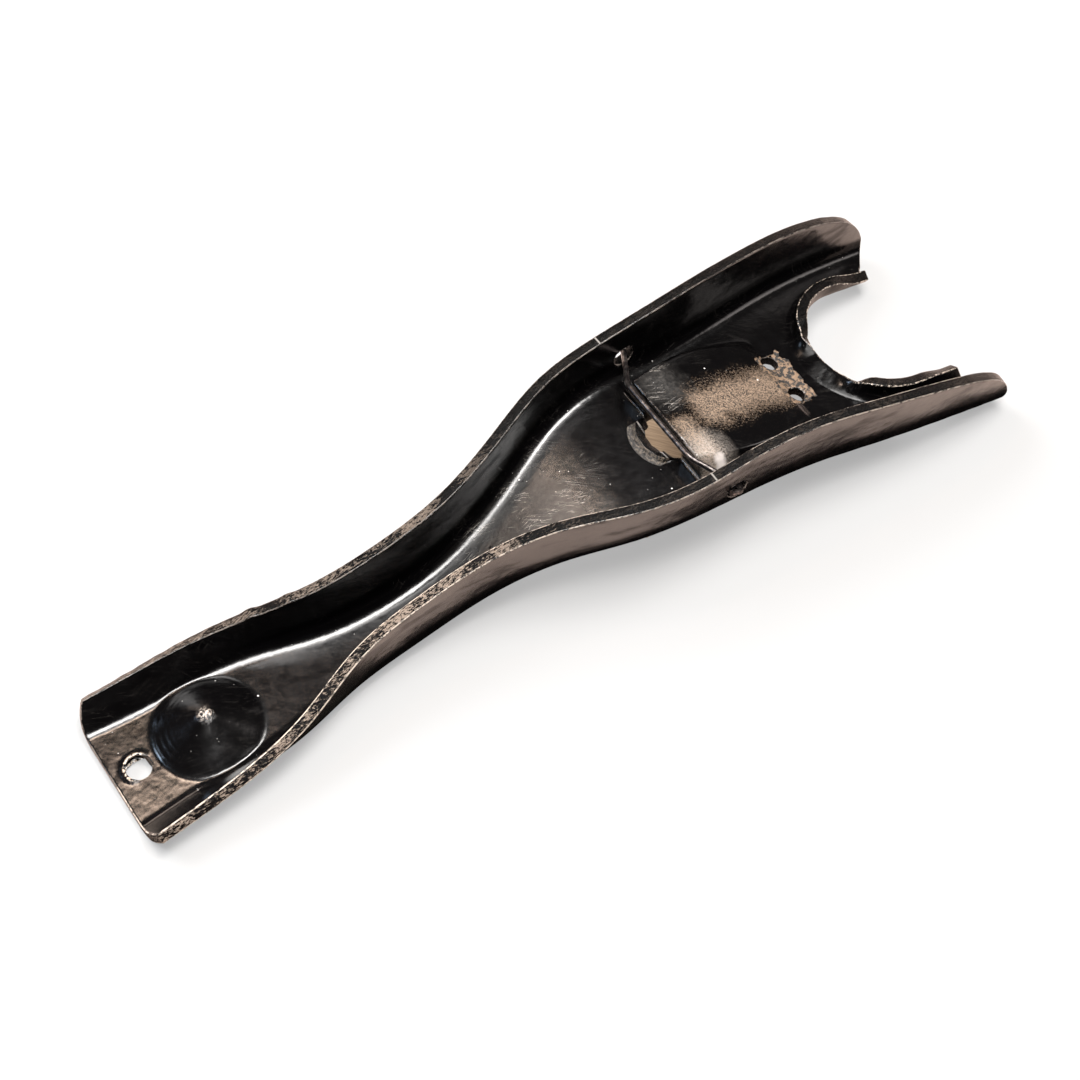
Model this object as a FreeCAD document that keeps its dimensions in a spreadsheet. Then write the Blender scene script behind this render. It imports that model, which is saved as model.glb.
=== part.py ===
import FreeCAD, Part
import math
import os

import Sketcher

# Clutch release fork: one pressing of thick steel sheet, folded up into a channel that opens
# upwards, and the round-wire spring that crosses it and holds it on its pivot.
#
# Frame: millimetres.  X runs along the fork from the push-rod end (-X) to the tines (+X),
# Y across it, Z up.  The channel is symmetric about Y = 0 and lies on Z = 0.

doc = FreeCAD.newDocument("clutch_fork")

# ---------------------------------------------------------------- driving dimensions
sizes = {
    # pressing
    "sheet": 3.5,                 # thickness of the pressed sheet
    "fork_length": 300.0,
    # push-rod end
    "corner_round": 8.0,          # plan radius of the two outer corners
    "return_hole_place": 8.3,     # from the outer edge
    "return_hole_radius": 3.8,
    "cone_place": 31.3,
    "cone_base_radius": 17.0,
    "cone_rise": 10.0,            # apex above the floor it rises from
    "cone_tip_radius": 4.0,
    # pivot opening and raised seat
    "lip_place": 182.2,           # outer side of the turned-up lip, from the outer edge
    "lip_bow": 1.8,               # how far the lip bows out at the middle
    "lip_half_width": 7.6,
    "lip_wide": 4.0,
    "lip_top": 25.2,
    "mouth_place": 192.3,         # straight edge of the raised seat
    "mouth_half_width": 16.0,
    "mouth_top": 31.9,
    "mouth_foot": 20.6,           # inside the sheet, so that the seat joins the floor
    "mouth_opening_half": 9.5,    # half width of the opening where it meets the mouth
    "seat_mid_place": 216.0,
    "seat_mid_half_width": 20.5,
    "seat_mid_top": 25.6,
    "seat_mid_foot": 17.8,
    "seat_end_place": 240.0,
    "seat_end_half_width": 15.0,
    "seat_end_top": 17.4,
    "seat_end_foot": 15.0,
    "seat_flank": 3.0,            # how much wider the seat is at its foot than at its top
    # two rivet holes
    "rivet_place": 238.7,
    "rivet_spacing": 14.4,
    "rivet_radius": 2.7,
    # fork mouth, which straddles the release bearing
    "fork_centre": 274.8,
    "fork_radius": 21.5,
    "tine_point_place": 288.5,    # where the inner corner of each tine ends
    "tine_point_half": 36.0,      # half width at which the tine reaches its full length
    "fork_lip_start": 252.5,
    "fork_lip_start_height": 13.2,
    "fork_lip_peak": 264.5,
    "fork_lip_peak_height": 18.6,
    "fork_lip_end_height": 11.4,
    "nose_length": 13.5,          # over which the rim of each wall rounds off to the tine's end
    "nose_height": 24.2,
    "nose_share": 0.25,           # part of that length beyond the middle of the curve
    "nose_mid_height": 15.5,
    "nose_foot_height": 5.5,
    # holes in the walls for the spring
    "wire_hole_place": 196.8,
    "wire_hole_height": 29.0,
    "wire_hole_radius": 3.4,
    # wire spring, drawn in its own tilted plane through the centres of the wall holes
    "wire_radius": 0.9,
    "wire_offset": 7.6,           # from the line of the holes to the middle run
    "wire_tilt": 27.0,            # degrees by which the middle run is raised from the holes
    "wire_kink_half": 16.0,       # half length of the middle run, between its bends
    "wire_reach": 32.3,           # half width over the centre lines of the hooks
    "wire_exit": 3.3,             # how far past the line of the holes the legs turn back
    "wire_hook": 7.0,             # length of each hook
    "wire_bend": 6.0,             # radius of the bends inside the channel
    "wire_hook_bend": 2.0,
}

# Sections of the channel, from the outer edge to the tips of the tines:
# name, place, half width over the rim, rim height, height of the underside,
# outer fold radius, lean of the walls in degrees.
stations = [
    ("outer_edge", 0.0, 27.0, 7.6, 0.3, 8.0, 50.0),
    ("cone_near", 17.0, 26.2, 9.4, 0.3, 8.0, 44.0),
    ("cone_far", 36.0, 24.9, 12.5, 0.6, 8.0, 31.0),
    ("neck_start", 54.0, 21.4, 16.4, 0.4, 8.5, 15.0),
    ("neck", 74.0, 15.2, 22.6, 0.1, 8.5, 4.5),
    ("waist", 98.0, 12.8, 28.3, 1.3, 8.3, 3.0),
    ("waist_end", 122.0, 14.1, 34.0, 6.9, 8.5, 3.0),
    ("flare", 145.0, 20.5, 39.1, 14.3, 8.5, 3.0),
    ("pan_start", 165.0, 28.2, 40.4, 18.7, 8.0, 3.0),
    ("crest", 183.0, 31.4, 40.6, 19.7, 7.5, 3.0),
    ("pan_mid", 204.0, 32.0, 41.9, 17.1, 7.5, 3.0),
    ("pan_far", 226.0, 33.6, 41.4, 14.8, 7.5, 3.0),
    ("pan_end", 248.0, 36.6, 37.4, 11.8, 7.5, 3.0),
    ("tine_root", 270.0, 39.0, 31.6, 7.6, 7.5, 4.0),
    ("tine_end", 300.0, 40.0, 18.6, 0.0, 7.5, 5.0),
]
PLACES_END = stations[-1][1]     # places are given on a fork of this length
station_fields = ("place", "half_width", "rim", "underside", "fold", "lean")

sheet = doc.addObject("Spreadsheet::Sheet", "Sizes")
sheet_row = 0


def store(alias, value):
    """Write one plain number into the sheet under a word of its own."""
    global sheet_row
    sheet_row += 1
    sheet.set("A%d" % sheet_row, alias)
    sheet.set("B%d" % sheet_row, repr(float(value)))
    sheet.setAlias("B%d" % sheet_row, alias)


for alias, value in sizes.items():
    store(alias, value)
for station in stations:
    for field, value in zip(station_fields, station[1:]):
        store(station[0] + "_" + field, value)
doc.recompute()


def cell(alias):
    return float(sheet.get(alias))


# ---------------------------------------------------------------- sketch helpers
START = 1
END = START + START
ORIGIN = (-1, 1)
THROUGH = 200.0                   # reach of a cut that goes right through the part


def value_of(expression):
    """What an expression comes to with the sheet as it stands, for a sketch's first drawing."""
    return float(sheet.evalExpression(expression))


def size(name):
    return "Sizes." + name


def along(place):
    """X of a place that is measured from the outer edge, stretched with the fork's length."""
    return "((%s) * Sizes.fork_length / %s - Sizes.fork_length / 2)" % (place, PLACES_END)


def minus(expression):
    return "-(" + expression + ")"


def origin_plane(body, role):
    for feature in body.Origin.OriginFeatures:
        if feature.Role == role:
            return feature
    raise ValueError("no plane " + role)


def new_sketch(body, name, role, offset=None):
    """A sketch on one of the body's own origin planes, moved along the plane's normal."""
    sketch = body.newObject("Sketcher::SketchObject", name)
    sketch.AttachmentSupport = [(origin_plane(body, role), "")]
    sketch.MapMode = "FlatFace"
    if offset is not None:
        sketch.setExpression("AttachmentOffset.Base.z", offset)
    return sketch


def drive(sketch, constraint, expression, name):
    """A dimension of the sketch, bound to the sheet."""
    index = sketch.addConstraint(constraint)
    sketch.renameConstraint(index, name)
    sketch.setExpression("Constraints." + name, expression)


def pin(sketch, edge, end, corner, name):
    """Holds a sketch point at two distances from the origin, both bound to the sheet."""
    for kind, expression in zip(("DistanceX", "DistanceY"), corner):
        constraint = Sketcher.Constraint(kind, *ORIGIN, edge, end, value_of(expression))
        drive(sketch, constraint, expression, name + kind[-1])


def arc_between(start, end, radius, turn):
    """The shorter arc from start to end; turn is 1 for anticlockwise and -1 for clockwise."""
    chord = end - start
    rise = math.sqrt(max(radius ** 2 - chord.Length ** 2 / 4, 0.0))
    left = FreeCAD.Vector(-chord.y, chord.x, 0).normalize()
    centre = (start + end) / 2 + left * rise * turn
    first, last = (start, end) if turn > 0 else (end, start)
    angles = [math.atan2(p.y - centre.y, p.x - centre.x) for p in (first, last)]
    return Part.ArcOfCircle(Part.Circle(centre, FreeCAD.Vector(0, 0, 1), radius), *angles)


def outline(sketch, corners, arcs=None):
    """A closed outline through corners given as pairs of sheet expressions.

    arcs maps the number of an edge, counted from 0 at the first corner, to its radius
    expression and its turn; every other edge is straight.
    """
    arcs = arcs or {}
    points = [FreeCAD.Vector(value_of(x), value_of(y), 0) for x, y in corners]
    count = len(points)
    ends = []
    for i, start in enumerate(points):
        end = points[(i + 1) % count]
        if i in arcs:
            radius, turn = arcs[i]
            sketch.addGeometry(arc_between(start, end, value_of(radius), turn))
            ends.append((START, END) if turn > 0 else (END, START))
        else:
            sketch.addGeometry(Part.LineSegment(start, end))
            ends.append((START, END))
    for i in range(count):
        after = (i + 1) % count
        joint = Sketcher.Constraint("Coincident", i, ends[i][1], after, ends[after][0])
        sketch.addConstraint(joint)
    for i, corner in enumerate(corners):
        pin(sketch, i, ends[i][0], corner, "corner%d" % i)
    for i, (radius, turn) in arcs.items():
        drive(sketch, Sketcher.Constraint("Radius", i, value_of(radius)), radius, "radius%d" % i)


def circle(sketch, centre, radius, name):
    middle = FreeCAD.Vector(value_of(centre[0]), value_of(centre[1]), 0)
    shape = Part.Circle(middle, FreeCAD.Vector(0, 0, 1), value_of(radius))
    edge = sketch.addGeometry(shape)
    pin(sketch, edge, 3, centre, name)
    drive(sketch, Sketcher.Constraint("Radius", edge, value_of(radius)), radius, name + "r")


def mirrored(corners):
    """The corners of one side followed by their mirror images, to close the outline."""
    return corners + [(minus(x), y) for x, y in reversed(corners)]


def cut(body, name, sketch, both_ways=True, backwards=False):
    """Pockets a sketch right through and makes sure that it removes material."""
    doc.recompute()
    before = body.Shape.Volume
    pocket = body.newObject("PartDesign::Pocket", name)
    pocket.Profile = sketch
    pocket.Type = "Length"
    pocket.Length = THROUGH
    pocket.Midplane = both_ways
    pocket.Reversed = backwards
    doc.recompute()
    if not body.Shape.Volume < before - 0.1:
        raise RuntimeError(name + " cuts nothing")


def loft(body, kind, name, sections, ruled=False):
    feature = body.newObject("PartDesign::" + kind, name)
    feature.Profile = sections[0]
    feature.Sections = sections[1:]
    feature.Ruled = ruled
    feature.Closed = False
    doc.recompute()
    return feature


# ---------------------------------------------------------------- the pressing
fork = doc.addObject("PartDesign::Body", "fork_pressing")
fork.Label = "fork_pressing"


def channel_section(station):
    """The folded sheet, cut square across: floor, two folds and two leaning walls."""
    name = station[0]
    half, rim, low, fold, lean = (size(name + "_" + f) for f in station_fields[1:])
    wall = "Sizes.sheet"
    inner = "(%s - %s)" % (fold, wall)
    wall_out = "(%s - %s - %s * (1 - sin(%s))) * tan(%s)" % (rim, low, fold, lean, lean)
    flat = "(%s - %s * cos(%s) - %s)" % (half, fold, lean, wall_out)
    side = [
        (flat, low),
        ("%s + %s * cos(%s)" % (flat, fold, lean), "%s + %s * (1 - sin(%s))" % (low, fold, lean)),
        (half, rim),
        ("%s - %s * cos(%s)" % (half, wall, lean), "%s + %s * sin(%s)" % (rim, wall, lean)),
        ("%s + %s * cos(%s)" % (flat, inner, lean),
         "%s + %s - %s * sin(%s)" % (low, fold, inner, lean)),
        (flat, "%s + %s" % (low, wall)),
    ]
    arcs = {0: (fold, 1), 4: (inner, -1), 6: (inner, -1), 10: (fold, 1)}
    sketch = new_sketch(fork, "Section_" + name, "YZ_Plane", along(size(name + "_place")))
    outline(sketch, mirrored(side), arcs)
    return sketch


def lip_block():
    """The turned-up lips of the fork mouth, before the channel joins them.

    A block with the lips' side view is cut back to a band around the mouth.
    """
    side = new_sketch(fork, "Fork_lip_side", "XZ_Plane")
    corners = [
        (along("Sizes.fork_lip_start"), "Sizes.pan_end_underside + 0.3"),
        (along("Sizes.tine_root_place"), "Sizes.tine_root_underside + 1"),
        (along("Sizes.tine_end_place"), "Sizes.tine_end_underside + 1"),
        (along("Sizes.tine_end_place"), "Sizes.fork_lip_end_height - 3"),
        (along("Sizes.tine_point_place"), "Sizes.fork_lip_end_height"),
        (along("Sizes.fork_lip_peak"), "Sizes.fork_lip_peak_height"),
        (along("Sizes.fork_lip_start"), "Sizes.fork_lip_start_height"),
    ]
    outline(side, corners, {4: ("70", 1), 5: ("24", 1)})
    pad = fork.newObject("PartDesign::Pad", "Fork_lip_block")
    pad.Profile = side
    pad.Type = "Length"
    pad.setExpression("Length", "2 * (Sizes.fork_radius + Sizes.sheet)")
    pad.Midplane = True
    doc.recompute()
    band = new_sketch(fork, "Fork_lip_band", "XY_Plane")
    reach = "(Sizes.fork_radius + Sizes.sheet)"
    centre = along("Sizes.fork_centre")
    left = centre + " - 40"
    corners = [
        (centre, reach),
        (centre + " - " + reach, "0"),
        (centre, minus(reach)),
        (centre, "-40"),
        (left, "-40"),
        (left, "40"),
        (centre, "40"),
    ]
    outline(band, corners, {0: (reach, 1), 1: (reach, 1)})
    cut(fork, "Fork_lip_outside", band)


def fork_mouth():
    """The gap between the tines, with a round end and slanting tine ends."""
    sketch = new_sketch(fork, "Fork_mouth_plan", "XY_Plane")
    centre = along("Sizes.fork_centre")
    point = along("Sizes.tine_point_place")
    end = along("Sizes.tine_end_place")
    far = "(%s + 30)" % end
    radius = "Sizes.fork_radius"
    side = [
        (centre, radius),
        (point, radius),
        (end, "Sizes.tine_point_half"),
        (far, "Sizes.tine_point_half"),
    ]
    corners = [(centre + " - " + radius, "0")] + [(x, minus(y)) for x, y in side]
    corners = corners + list(reversed(side))
    outline(sketch, corners, {0: (radius, 1), 8: (radius, 1)})
    cut(fork, "Fork_mouth", sketch)


def tine_noses():
    """Rounds the ends of the walls off in the side view."""
    sketch = new_sketch(fork, "Nose_side", "XZ_Plane")
    end = along("Sizes.tine_end_place")
    start = end + " - Sizes.nose_length"
    corners = [
        (start, "Sizes.nose_height + 30"),
        (start, "Sizes.nose_height"),
        (end + " - Sizes.nose_length * Sizes.nose_share", "Sizes.nose_mid_height"),
        (end, "Sizes.nose_foot_height"),
        (end + " + 30", "Sizes.nose_foot_height"),
        (end + " + 30", "Sizes.nose_height + 30"),
    ]
    outline(sketch, corners, {1: ("12", -1), 2: ("30", -1)})
    cut(fork, "Tine_noses", sketch)


def outer_corners():
    """Rounds the two corners of the push-rod end in plan."""
    sketch = new_sketch(fork, "Corner_plan", "XY_Plane")
    edge = along("0")
    radius = "Sizes.corner_round"
    wide = "(Sizes.outer_edge_half_width + 0.2)"
    side = [
        (edge, "(%s - %s)" % (wide, radius)),
        (edge + " + " + radius, wide),
        (edge + " + " + radius, wide + " + 30"),
        (edge + " - 30", wide + " + 30"),
    ]
    corners = side + [(x, minus(y)) for x, y in reversed(side)]
    outline(sketch, corners, {0: (radius, -1), 6: (radius, -1)})
    cut(fork, "Outer_corners", sketch)


def seat_section(name, place, half, top, foot, inset="0"):
    """A trapezium across the channel, for the raised seat or for the hollow under it."""
    sketch = new_sketch(fork, name, "YZ_Plane", along(place))
    side = [
        ("%s + Sizes.seat_flank - %s" % (half, inset), foot),
        ("%s - %s" % (half, inset), "%s - %s" % (top, inset)),
    ]
    outline(sketch, side + [(minus(x), y) for x, y in reversed(side)])
    return sketch


def raised_seat():
    """The part of the floor that is pressed up over the pivot, open at its mouth."""
    stops = ("mouth", "seat_mid", "seat_end")
    sections = []
    for stop in stops:
        sections.append(seat_section("Seat_" + stop, size(stop + "_place"),
                                     size(stop + "_half_width"), size(stop + "_top"),
                                     size(stop + "_foot")))
    loft(fork, "AdditiveLoft", "Seat", sections)


def seat_hollow():
    """The same shape one sheet lower and further back, so that the plate stays one sheet thick."""
    sections = []
    for stop, set_back in (("mouth", " + Sizes.sheet"), ("seat_mid", ""), ("seat_end", "")):
        sections.append(seat_section("Hollow_" + stop, size(stop + "_place") + set_back,
                                     size(stop + "_half_width"), size(stop + "_top"),
                                     "0", "Sizes.sheet"))
    loft(fork, "SubtractiveLoft", "Seat_hollow", sections)


def seat_mouth():
    """The window in the seat's front face, under its straight edge."""
    sketch = new_sketch(fork, "Mouth_front", "YZ_Plane", along("Sizes.mouth_place - 1"))
    half = "Sizes.mouth_opening_half"
    top = "Sizes.mouth_top - Sizes.sheet"
    outline(sketch, [(half, "Sizes.mouth_foot - 3"), (half, top),
                     (minus(half), top), (minus(half), "Sizes.mouth_foot - 3")])
    doc.recompute()
    before = fork.Shape.Volume
    window = fork.newObject("PartDesign::Pocket", "Seat_mouth")
    window.Profile = sketch
    window.Type = "Length"
    window.setExpression("Length", "Sizes.sheet + 4")
    window.Reversed = True
    doc.recompute()
    if not fork.Shape.Volume < before - 0.1:
        raise RuntimeError("the mouth cuts nothing")


def pivot_opening():
    """The opening in front of the seat, from the bowed lip to the mouth."""
    sketch = new_sketch(fork, "Pivot_opening_plan", "XY_Plane")
    start = along("Sizes.lip_place + Sizes.lip_bow + Sizes.lip_wide")
    mouth = along("Sizes.mouth_place + 0.5")
    bow_radius = "(Sizes.lip_half_width ^ 2 + Sizes.lip_bow ^ 2) / (2 * Sizes.lip_bow)"
    corners = [
        (start, "(Sizes.lip_half_width - 1)"),
        (start, "-(Sizes.lip_half_width - 1)"),
        (mouth, "-Sizes.mouth_opening_half"),
        (mouth, "Sizes.mouth_opening_half"),
    ]
    outline(sketch, corners, {0: (bow_radius, 1)})
    cut(fork, "Pivot_opening", sketch)


def pivot_lip():
    """The lip that is turned up along the outer side of the pivot opening."""
    sketch = new_sketch(fork, "Pivot_lip_plan", "XY_Plane", "Sizes.crest_underside + 1")
    back = along("Sizes.lip_place + Sizes.lip_bow")
    front = along("Sizes.lip_place + Sizes.lip_bow + Sizes.lip_wide")
    bow_radius = "(Sizes.lip_half_width ^ 2 + Sizes.lip_bow ^ 2) / (2 * Sizes.lip_bow)"
    corners = [
        (back, "Sizes.lip_half_width"),
        (back, "-Sizes.lip_half_width"),
        (front, "-(Sizes.lip_half_width - 1)"),
        (front, "(Sizes.lip_half_width - 1)"),
    ]
    outline(sketch, corners, {0: (bow_radius, 1), 2: (bow_radius, -1)})
    pad = fork.newObject("PartDesign::Pad", "Pivot_lip")
    pad.Profile = sketch
    pad.Type = "Length"
    pad.setExpression("Length", "Sizes.lip_top - Sizes.crest_underside - 1")
    doc.recompute()


def cone_profile(name, base, rise, foot, tip):
    """Half of a cone with a round tip, drawn in the side view for turning about its axis."""
    sketch = new_sketch(fork, name, "XZ_Plane")
    sketch.setExpression("AttachmentOffset.Base.x", along("Sizes.cone_place"))
    slope = "atan(%s / %s)" % (rise, base)
    blend_out = "%s * sin(%s)" % (tip, slope)
    drop = "%s * (1 / cos(%s) - cos(%s))" % (tip, slope, slope)
    peak = "(%s + %s - %s * (1 / cos(%s) - 1))" % (foot, rise, tip, slope)
    corners = [
        ("0", "%s - 3" % foot),
        (base, "%s - 3" % foot),
        (base, foot),
        (blend_out, "%s + %s - %s" % (foot, rise, drop)),
        ("0", peak),
    ]
    outline(sketch, corners, {3: (tip, 1)})
    return sketch


def push_rod_seat():
    """The cone pressed up from the floor; its hollow underneath takes the push rod's end."""
    foot = "(Sizes.cone_near_underside + Sizes.sheet)"
    cone = fork.newObject("PartDesign::Revolution", "Seat_cone")
    profile = cone_profile("Cone_side", "Sizes.cone_base_radius", "Sizes.cone_rise",
                           foot, "Sizes.cone_tip_radius")
    cone.Profile = profile
    cone.ReferenceAxis = (profile, ["V_Axis"])
    doc.recompute()


lip_block()
fork_sections = [channel_section(station) for station in stations]
doc.recompute()
loft(fork, "AdditiveLoft", "Channel", fork_sections)
raised_seat()
seat_hollow()
seat_mouth()
pivot_lip()
pivot_opening()
push_rod_seat()
fork_mouth()
tine_noses()
outer_corners()


def push_rod_hollow():
    """The same cone one sheet lower, cut out of the underside."""
    foot = "Sizes.cone_near_underside"
    groove = fork.newObject("PartDesign::Groove", "Seat_hollow_cone")
    groove.Profile = cone_profile("Cone_hollow_side", "(Sizes.cone_base_radius - 0.5)",
                                  "Sizes.cone_rise", foot, "(Sizes.cone_tip_radius - 1)")
    groove.ReferenceAxis = (groove.Profile[0], ["V_Axis"])
    doc.recompute()


def round_holes():
    """The return-spring hole and the two rivet holes, straight down through the floor."""
    sketch = new_sketch(fork, "Floor_holes_plan", "XY_Plane")
    circle(sketch, (along("Sizes.return_hole_place"), "0"), "Sizes.return_hole_radius", "ret")
    for side, sign in (("near", "-"), ("far", "")):
        centre = (along("Sizes.rivet_place"), sign + "Sizes.rivet_spacing / 2")
        circle(sketch, centre, "Sizes.rivet_radius", "rivet" + side)
    cut(fork, "Floor_holes", sketch)


def wire_holes():
    """One hole in each wall, in line across the channel and clear of the raised seat."""
    for side, sign, backwards in (("near", "", True), ("far", "-", False)):
        sketch = new_sketch(fork, "Wall_hole_" + side, "XZ_Plane",
                            sign + "Sizes.crest_half_width * 0.75")
        centre = (along("Sizes.wire_hole_place"), "Sizes.wire_hole_height")
        circle(sketch, centre, "Sizes.wire_hole_radius", "wall")
        cut(fork, "Wall_hole_%s_cut" % side, sketch, both_ways=False, backwards=backwards)


push_rod_hollow()
round_holes()
wire_holes()


# ---------------------------------------------------------------- the wire spring
spring = doc.addObject("PartDesign::Body", "retaining_spring")
spring.Label = "retaining_spring"


def wire_path(sketch, corner_names, radius_names):
    """Straight runs joined by tangent bends; the runs aim at corners bound to the sheet.

    Each bend has the radius of its corner, and the two ends of the path are corners too.
    """
    corners = [FreeCAD.Vector(value_of(x), value_of(y), 0) for x, y in corner_names]
    starts = [corners[0]]
    ends = []
    bends = []
    for i, radius_name in enumerate(radius_names, start=1):
        before = (corners[i - 1] - corners[i]).normalize()
        after = (corners[i + 1] - corners[i]).normalize()
        radius = value_of(radius_name)
        reach = radius / math.tan(before.getAngle(after) / 2)
        turn = 1 if before.cross(after).z < 0 else -1
        ends.append(corners[i] + before * reach)
        starts.append(corners[i] + after * reach)
        bends.append((arc_between(ends[-1], starts[-1], radius, turn), turn))
    ends.append(corners[-1])
    runs = [sketch.addGeometry(Part.LineSegment(*pair)) for pair in zip(starts, ends)]
    for i, (arc, turn) in enumerate(bends):
        edge = sketch.addGeometry(arc)
        first, last = (START, END) if turn > 0 else (END, START)
        sketch.addConstraint(Sketcher.Constraint("Tangent", runs[i], END, edge, first))
        sketch.addConstraint(Sketcher.Constraint("Tangent", edge, last, runs[i + 1], START))
        radius = Sketcher.Constraint("Radius", edge, arc.Radius)
        drive(sketch, radius, radius_names[i], "bend%d" % i)
    pin(sketch, runs[0], START, corner_names[0], "first")
    pin(sketch, runs[-1], END, corner_names[-1], "last")
    for i in range(1, len(corners) - 1):
        point = sketch.addGeometry(Part.Point(corners[i]), True)
        pin(sketch, point, START, corner_names[i], "aim%d" % i)
        for run in (runs[i - 1], runs[i]):
            sketch.addConstraint(Sketcher.Constraint("PointOnObject", point, START, run))


def bent_wire():
    """Middle run, two legs out through the wall holes and two hooks, all in one plane.

    In the spring's own plane x points towards the outer edge and upwards, and y across.
    """
    path = new_sketch(spring, "Spring_path", "XY_Plane")
    one_side = [
        ("Sizes.wire_hook - Sizes.wire_exit", "Sizes.wire_reach"),
        ("-Sizes.wire_exit", "Sizes.wire_reach"),
        ("Sizes.wire_offset", "Sizes.wire_kink_half"),
    ]
    other_side = [(x, minus(y)) for x, y in reversed(one_side)]
    hook, kink = "Sizes.wire_hook_bend", "Sizes.wire_bend"
    wire_path(path, one_side + other_side, [hook, kink, kink, hook])
    doc.recompute()
    ring = spring.newObject("Sketcher::SketchObject", "Spring_section")
    ring.AttachmentSupport = [(path, "Edge1")]
    ring.MapMode = "NormalToEdge"
    doc.recompute()
    circle(ring, ("0", "0"), "Sizes.wire_radius", "wire")
    doc.recompute()
    pipe = spring.newObject("PartDesign::AdditivePipe", "Spring_wire")
    pipe.Profile = ring
    pipe.Spine = path
    doc.recompute()


spring.Placement = FreeCAD.Placement(FreeCAD.Vector(0, 0, 0),
                                     FreeCAD.Rotation(FreeCAD.Vector(0, 1, 0), 180))
spring.setExpression("Placement.Base.x", along("Sizes.wire_hole_place"))
spring.setExpression("Placement.Base.z", "Sizes.wire_hole_height")
spring.setExpression("Placement.Rotation.Angle", "180 + Sizes.wire_tilt")
bent_wire()

# ---------------------------------------------------------------- check and write
doc.recompute()
for item in doc.Objects:
    if "Invalid" in item.State or "Error" in item.State:
        raise RuntimeError(item.Name + " failed: " + str(item.State))
os.makedirs("parts", exist_ok=True)
for body in (fork, spring):
    shape = body.Shape
    if shape.isNull() or not shape.isValid() or len(shape.Solids) != 1:
        raise RuntimeError(body.Label + " is not one sound solid")
    shape.exportStep("parts/" + body.Label + ".step")
    print(body.Label, "volume", round(shape.Volume, 1), "area", round(shape.Area, 1))
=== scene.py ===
import math

import bpy
import numpy as np
from mathutils import Matrix, Vector


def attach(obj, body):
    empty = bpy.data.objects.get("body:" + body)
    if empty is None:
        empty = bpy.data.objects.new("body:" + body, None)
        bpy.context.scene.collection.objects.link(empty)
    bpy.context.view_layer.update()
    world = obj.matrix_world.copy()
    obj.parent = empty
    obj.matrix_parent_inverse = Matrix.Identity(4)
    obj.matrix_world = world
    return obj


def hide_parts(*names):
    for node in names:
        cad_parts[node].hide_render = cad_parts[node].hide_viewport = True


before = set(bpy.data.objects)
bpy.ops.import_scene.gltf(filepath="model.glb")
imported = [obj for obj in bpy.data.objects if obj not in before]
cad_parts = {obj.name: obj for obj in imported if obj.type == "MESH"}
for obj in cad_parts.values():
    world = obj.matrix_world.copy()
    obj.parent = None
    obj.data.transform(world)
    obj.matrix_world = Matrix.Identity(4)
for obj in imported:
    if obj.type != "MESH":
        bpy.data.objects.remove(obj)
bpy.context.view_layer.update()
scene = bpy.context.scene

# ---------------------------------------------------------------- sizes of the pressing, in millimetres
MM = 0.001
SHEET = 3.5
LENGTH = 300.0
# place along the lever, half width over the rim, rim height, underside height,
# outer fold radius, lean of the walls in degrees
STATIONS = np.array([
    (0.0, 27.0, 7.6, 0.3, 8.0, 50.0),
    (17.0, 26.2, 9.4, 0.3, 8.0, 44.0),
    (36.0, 24.9, 12.5, 0.6, 8.0, 31.0),
    (54.0, 21.4, 16.4, 0.4, 8.5, 15.0),
    (74.0, 15.2, 22.6, 0.1, 8.5, 4.5),
    (98.0, 12.8, 28.3, 1.3, 8.3, 3.0),
    (122.0, 14.1, 34.0, 6.9, 8.5, 3.0),
    (145.0, 20.5, 39.1, 14.3, 8.5, 3.0),
    (165.0, 28.2, 40.4, 18.7, 8.0, 3.0),
    (183.0, 31.4, 40.6, 19.7, 7.5, 3.0),
    (204.0, 32.0, 41.9, 17.1, 7.5, 3.0),
    (226.0, 33.6, 41.4, 14.8, 7.5, 3.0),
    (248.0, 36.6, 37.4, 11.8, 7.5, 3.0),
    (270.0, 39.0, 31.6, 7.6, 7.5, 4.0),
    (300.0, 40.0, 18.6, 0.0, 7.5, 5.0),
])
LOWEST = 0.02
NEAR_CORNER, FAR_CORNER, CORNER_HALF = 8.0, 11.5, 27.2
CONE = dict(place=31.3, base=17.0, rise=10.0, tip=4.0, step=0.2, skirt=1.5, blend=0.45)
RETURN_HOLE, RETURN_R = 8.3, 3.8
RIDGE = dict(radius=4.5, half=1.1, height=0.55)
RIVET_PLACE, RIVET_ACROSS, RIVET_R = 238.7, 7.2, 2.7
WALL_HOLE, WALL_HOLE_Z, WALL_HOLE_R = 196.8, 29.0, 3.4
OPEN_START, OPEN_BOW, OPEN_BOW_HALF, BOW_POWER = 183.0, 2.6, 8.0, 2.2
OPEN_HALF, OPEN_FLARE = 7.6, 1.7
OPEN_LIP = dict(bend=1.1, least=6.0, more=50.0, short=0.3, longer=0.9, end=1.0, fade=6.0, skew=0.12)
OPEN_ZONE = dict(place=188.0, reach=12.0, half=24.0)
FRONT_FROM = 9.3
MOUTH = 192.3
SEAT_PLACES = np.array([MOUTH, 216.0, 240.0])
SEAT_TOPS = np.array([31.9, 25.6, 17.4])
SEAT_HALVES = np.array([17.0, 21.0, 15.5])
SEAT_FADE_END, SEAT_FADE = 239.5, 5.0
SEAT_FLANK = dict(at_mouth=4.6, loss=1.4, over=20.0, inset=0.8)
FORK_CENTRE, FORK_R = 274.8, 21.5
FORK_FROM = 240.0
TINE_POINT, TINE_HALF = 288.5, 36.0
TINE_LIP_ROOT, TINE_LIP_TOP = 5.2, 2.6
LIP_BEND, LIP_BACK, LIP_ZONE = 3.0, 6.5, 6.0
LIP_TURN = dict(low_at=-8.0, fade=34.0, delay=0.35, least=9.0, more=76.0)
LIP_SHARES, LIP_LENGTHS = (0, 0.5, 1), (6.6, 3.2, 3.4)
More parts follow.
